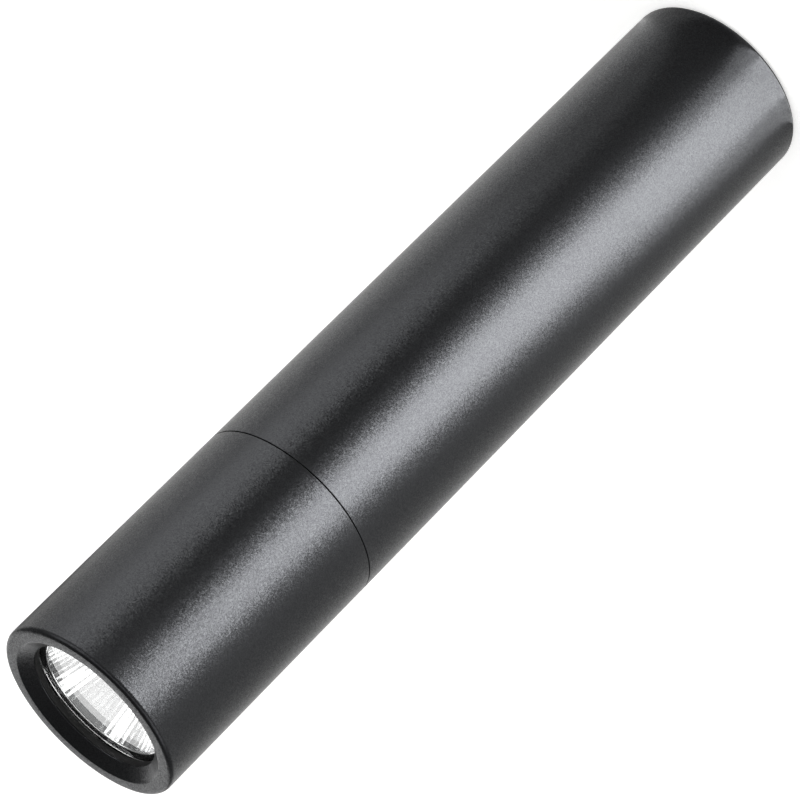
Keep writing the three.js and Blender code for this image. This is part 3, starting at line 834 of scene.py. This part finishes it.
# Clear dome over the emitter
def makeEmitterDome():
    low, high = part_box("led_dome")
    corners = [
        (0, low.z), (high.x, low.z), (high.x, high.z, ledSizes["domeCurve"] * high.x), (0, high.z),
    ]
    dome = turnPiece(
        "ledLens", corners, ledSizes["domeSteps"], closed=False, roundSteps=ledSizes["domeRoundSteps"])
    dress(dome, "silicone", "led_dome")
    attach(dome, "head")


makeHeadShell()
makeLensSeal()
makeLens()
makeReflector()
makeEmitter()
makeEmitterDome()
print("head pieces made")


# The pieces that keep their built shape take the finish of their slot

def finishKeptNodes():
    kept = 0
    for subpart in frame["record"]["subparts"]:
        node = frame["nodes"][subpart["node"]]
        if not node.hide_render:
            node.data.materials.clear()
            node.data.materials.append(finishes[subpart["material_slot"]])
            kept += 1
    print("kept nodes finished:", kept)


finishKeptNodes()


# Camera at the photograph's angle

cameraRig = {
    "lens": 182.9,  # mm, focal length
    "elevation": 27.64,  # degrees above the floor
    "roll": 225.0,  # degrees
    "lensCentre": (-35.34, 35.41, 458.8),  # mm right, down and ahead of the camera to the middle of the bezel
    "clip": (0.01, 20),  # metres
}


def placeCamera():
    tilt, roll = math.radians(cameraRig["elevation"]), math.radians(cameraRig["roll"])
    ahead = Vector((0, math.cos(tilt), -math.sin(tilt)))
    level, upright = Vector((1, 0, 0)), Vector((0, math.sin(tilt), math.cos(tilt)))
    right = math.cos(roll) * level + math.sin(roll) * upright
    up = math.cos(roll) * upright - math.sin(roll) * level
    bezel = Vector((0, 0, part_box("head_shell")[1].z))
    across, down, away = [value * mm for value in cameraRig["lensCentre"]]
    place = bezel - (across * right - down * up + away * ahead)
    bpy.ops.object.camera_add(location=place)
    camera = bpy.context.object
    camera.rotation_euler = Matrix((right, up, -ahead)).transposed().to_euler()
    camera.data.lens = cameraRig["lens"]
    camera.data.clip_start, camera.data.clip_end = cameraRig["clip"]
    bpy.context.scene.camera = camera


# Studio: a white sweep, a soft room, light panels lying in front of the torch and cards beside them.
# The tube stands upright under a camera that looks down, so what it mirrors is the floor round it.

studio = {
    "floorColour": "#f4f4f2",
    "floorSize": 8.0,  # metres
    "floorDrop": 0.2,  # mm below the torch
    "floorGlow": 0.5,
    "roomHorizon": 0.6,
    "roomCeiling": 0.3,
    # light panels that lie on the floor: x, y and width in mm and brightness at places along each
    "floorPanels": {
        "streak": [
            (-3.3, -10.5, 5, 11), (-6.2, -14.5, 9, 11.5), (-12, -21, 17, 13.5),
            (-20, -29, 30, 15), (-37, -51, 56, 15), (-58, -116, 102, 17),
            (-82, -190, 132, 17.5), (-118, -271, 192, 13.5), (-150, -345, 240, 12),
        ],
        "tailGlow": [
            (-3.3, -10.5, 8.5, 5), (-6.2, -14.5, 13.5, 5), (-12, -21, 24, 3), (-20, -29, 38, 0.5),
        ],
        "halo": [
            (-3.3, -10.5, 13, 3), (-6.2, -14.5, 19, 4), (-12, -21, 35, 5), (-20, -29, 54, 5),
            (-37, -51, 92, 4.5), (-58, -116, 150, 2.2), (-82, -190, 170, 0.4),
        ],
        "side": [
            (72, -37, 40, 1.0), (118, -55, 90, 2.0), (188, -84, 150, 2.6),
            (285, -123, 230, 3.0), (396, -168, 300, 3.0),
        ],
        "fill": [
            (15, -4, 8, 0.8), (33, 5, 22, 0.8), (64, 22, 50, 0.8), (117, 50, 98, 0.8), (214, 102, 170, 0.8),
        ],
        "farFill": [(236, 32, 150, 1.3), (404, 62, 240, 1.3)],
    },
    "panelSteps": 4,  # lamps between two of those places
    "panelLift": 0.5,  # mm above the ground
    # cards on the floor that only reflections see: azimuth towards -X in degrees, near and far distance
    # and near and far width in mm, and colour
    "cards": [
        (-22, 110, 320, 80, 205, "#050505"),
        (-22, 13, 110, 20, 80, "#d0d0d0"),
        (-166, 235, 340, 120, 190, "#606060"),
    ],
    "cardLift": 0.3,  # mm above the ground
    # soft boxes above: azimuth towards -X and elevation in degrees, width and height in metres, brightness
    "softBoxes": [
        (0, 50, 1.0, 0.3, 2.0),
        (68, 31, 0.85, 0.6, 2.2),
        (-68, 31, 0.85, 0.6, 2.2),
        (180, 15, 1.0, 0.5, 1.9),
    ],
    "boxDistance": 1.0,  # metres from the lens
}


def placeFloor():
    bpy.ops.object.select_all(action="DESELECT")
    bpy.ops.mesh.primitive_plane_add(size=studio["floorSize"], location=(0, 0, -studio["floorDrop"] * mm))
    floor = nameNew("floor")
    material, tree, shader = newFinish("white paper sweep", {
        "Base Color": toLinear(studio["floorColour"]), "Roughness": 1, "Specular IOR Level": 0,
        "Emission Color": (1, 1, 1, 1),
    })[:3]
    path = addNode(tree, "ShaderNodeLightPath").outputs
    seen = path["Is Camera Ray"]
    for ray in ("Is Glossy Ray", "Is Transmission Ray"):
        seen = addNode(tree, "ShaderNodeMath", {0: seen, 1: path[ray]}, operation="MAXIMUM").outputs["Value"]
    glow = addNode(tree, "ShaderNodeMath", {0: seen, 1: studio["floorGlow"]}, operation="MULTIPLY")
    tree.links.new(glow.outputs["Value"], shader.inputs["Emission Strength"])
    floor.data.materials.append(material)


def lightRoom():
    world = bpy.data.worlds.new("softRoom")
    bpy.context.scene.world = world
    world.use_nodes = True
    tree = world.node_tree
    tree.nodes.clear()
    direction = addNode(tree, "ShaderNodeTexCoord").outputs["Generated"]
    height = addNode(tree, "ShaderNodeSeparateXYZ", {"Vector": direction})
    fade = addNode(tree, "ShaderNodeMapRange", {
        "Value": height.outputs["Z"],
        "To Min": studio["roomHorizon"],
        "To Max": studio["roomCeiling"],
    })
    room = addNode(tree, "ShaderNodeBackground", {"Strength": fade.outputs["Result"]})
    addNode(tree, "ShaderNodeOutputWorld", {"Surface": room.outputs["Background"]})


def addLamp(place, rotation, width, height, brightness):
    bpy.ops.object.light_add(type="AREA", location=place, rotation=rotation)
    lamp = bpy.context.object
    lamp.data.shape = "RECTANGLE"
    lamp.data.size = width
    lamp.data.size_y = height
    lamp.data.energy = brightness * math.pi * width * height
    return lamp


def placePanels():
    steps = studio["panelSteps"]
    for places in studio["floorPanels"].values():
        for here, there in zip(places, places[1:]):
            length = math.dist(here[:2], there[:2]) / steps
            turn = math.atan2(there[1] - here[1], there[0] - here[0]) + math.pi / 2
            for step in range(steps):
                share = (step + 0.5) / steps
                x, y, width, brightness = [a + (b - a) * share for a, b in zip(here, there)]
                place = Vector((x, y, studio["panelLift"])) * mm
                panel = addLamp(place, (math.pi, 0, turn), width * mm, length * mm, brightness)
                panel.visible_camera = False


def placeSoftBoxes():
    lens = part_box("lens")[1].z
    for azimuth, elevation, width, height, brightness in studio["softBoxes"]:
        aside, above = math.radians(azimuth), math.radians(elevation)
        level = Vector((-math.sin(aside), -math.cos(aside), 0))
        away = level * math.cos(above) + Vector((0, 0, math.sin(above)))
        place = Vector((0, 0, lens)) + away * studio["boxDistance"]
        addLamp(place, away.to_track_quat("Z", "Y").to_euler(), width, height, brightness)


def placeCards():
    for azimuth, *sizes, colour in studio["cards"]:
        near, far, nearWidth, farWidth = [value * mm for value in sizes]
        bpy.ops.object.select_all(action="DESELECT")
        bpy.ops.mesh.primitive_plane_add(size=1, location=(0, -(near + far) / 2, studio["cardLift"] * mm))
        card = nameNew("floorCard")
        bpy.ops.object.mode_set(mode="EDIT")
        bpy.ops.transform.resize(value=(farWidth, far - near, 1))
        selectWhere(card, "VERT", lambda vertex: vertex.co.y > 0)
        bpy.ops.transform.resize(value=(nearWidth / farWidth, 1, 1))
        bpy.ops.object.mode_set(mode="OBJECT")
        bpy.ops.object.transform_apply()
        card.rotation_euler.z = -math.radians(azimuth)
        bpy.ops.object.transform_apply()
        card.data.materials.append(newFinish("card", {"Base Color": toLinear(colour), "Roughness": 1})[0])
        card.visible_camera = False
        card.visible_diffuse = False
        card.visible_transmission = False
        card.visible_shadow = False


placeCamera()
placeFloor()
lightRoom()
placePanels()
placeSoftBoxes()
placeCards()
bpy.context.scene.view_settings.view_transform = "Standard"
print("camera and studio placed")
